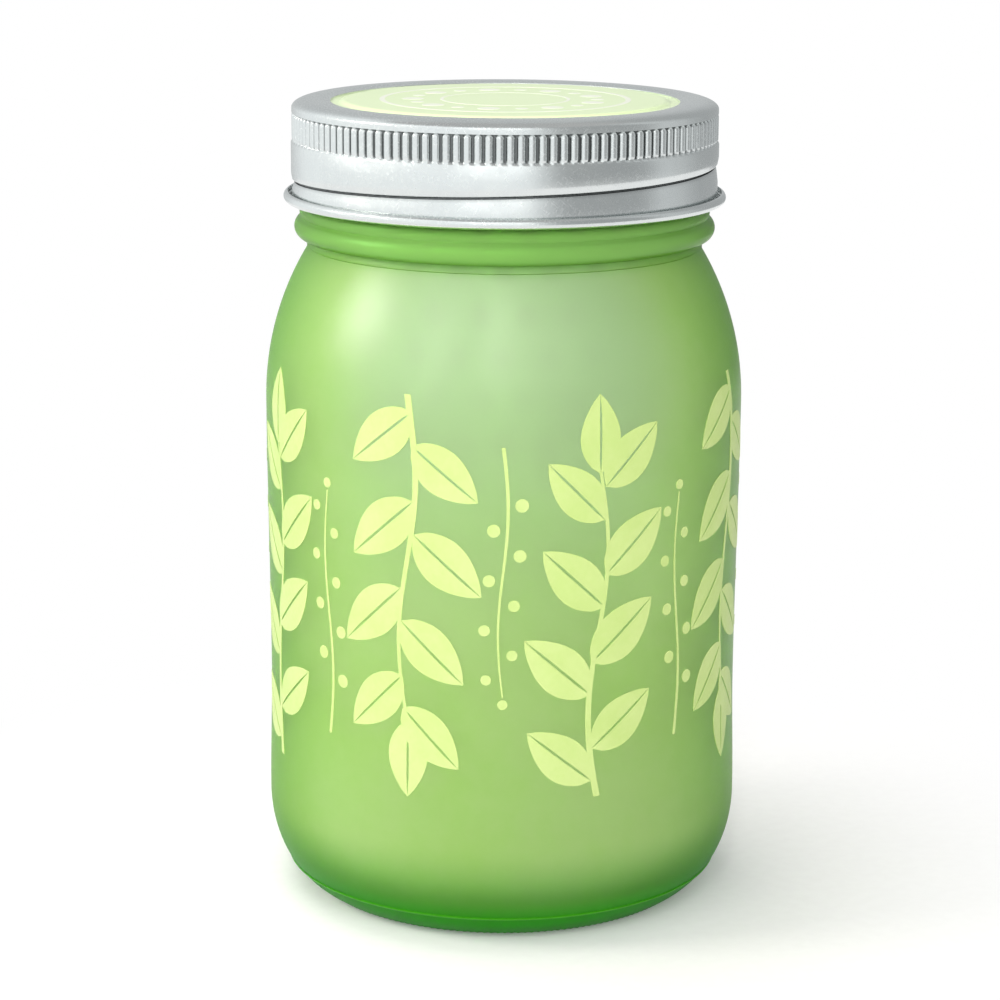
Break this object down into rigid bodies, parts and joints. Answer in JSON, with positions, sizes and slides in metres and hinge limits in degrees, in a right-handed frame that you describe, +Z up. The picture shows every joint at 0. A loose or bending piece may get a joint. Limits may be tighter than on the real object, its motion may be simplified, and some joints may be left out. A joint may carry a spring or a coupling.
{
  "type": "hydroponic jar planter",
  "caption": "Frosted glass jar planter with a two-piece screw lid, a perforated net pot hung in its mouth, a felt wick, growing medium and packets.",
  "frame": {"origin": "on the jar's axis, on the surface that the jar stands on", "axes": "+Z up along the jar's axis, towards the lid; -Y towards the viewer of the picture, +X to the viewer's right"},
  "size_m": [0.0826, 0.0826, 0.1392],
  "materials": {
    "frosted_glass": "soda-lime glass with a frosted, translucent green coat",
    "band_tinplate": "satin tinplate",
    "disc_tinplate": "satin tinplate",
    "seal_compound": "matt moulded sealing compound",
    "cover_sheet": "glossy coated paper in pale green",
    "pot_stainless": "rolled and perforated stainless sheet",
    "wick_felt": "off-white needled felt",
    "coir_medium": "loose coconut husk fibre and granules",
    "packet_paper": "matt envelope paper",
    "sachet_film": "heat-sealed coated paper",
    "carbon_paper": "heat-sealed dark paper"
  },
  "bodies": {
    "jar": {"jar": "frosted_glass", "seed_packet": "packet_paper", "plant_food_sachet": "sachet_film", "carbon_sachet": "carbon_paper"},
    "net_pot": {"net_pot_collar": "pot_stainless", "net_pot_wall": "pot_stainless", "net_pot_floor": "pot_stainless", "wick": "wick_felt", "grow_medium": "coir_medium"},
    "lid": {"lid_disc": "disc_tinplate", "lid_seal": "seal_compound"},
    "cover": {"lid_sheet": "cover_sheet"},
    "band": {"screw_band": "band_tinplate"}
  },
  "joints": [
    {"name": "net_pot_lift", "type": "slide", "parent": "jar", "child": "net_pot", "axis": [0, 0, 1], "range_m": [0, 0.13]},
    {"name": "lid_lift", "type": "slide", "parent": "net_pot", "child": "lid", "axis": [0, 0, 1], "range_m": [0, 0.06]},
    {"name": "band_rise", "type": "slide", "parent": "lid", "child": "cover", "axis": [0, 0, 1], "range_m": [0, 0.00794]},
    {"name": "band_turn", "type": "hinge", "parent": "cover", "child": "band", "pos_m": [0, 0, 0.13], "axis": [0, 0, 1], "range_deg": [0, 450]}
  ],
  "couplings": [
    {"joint": "band_rise", "follows": "band_turn", "m_per_rad": 0.0010106}
  ]
}
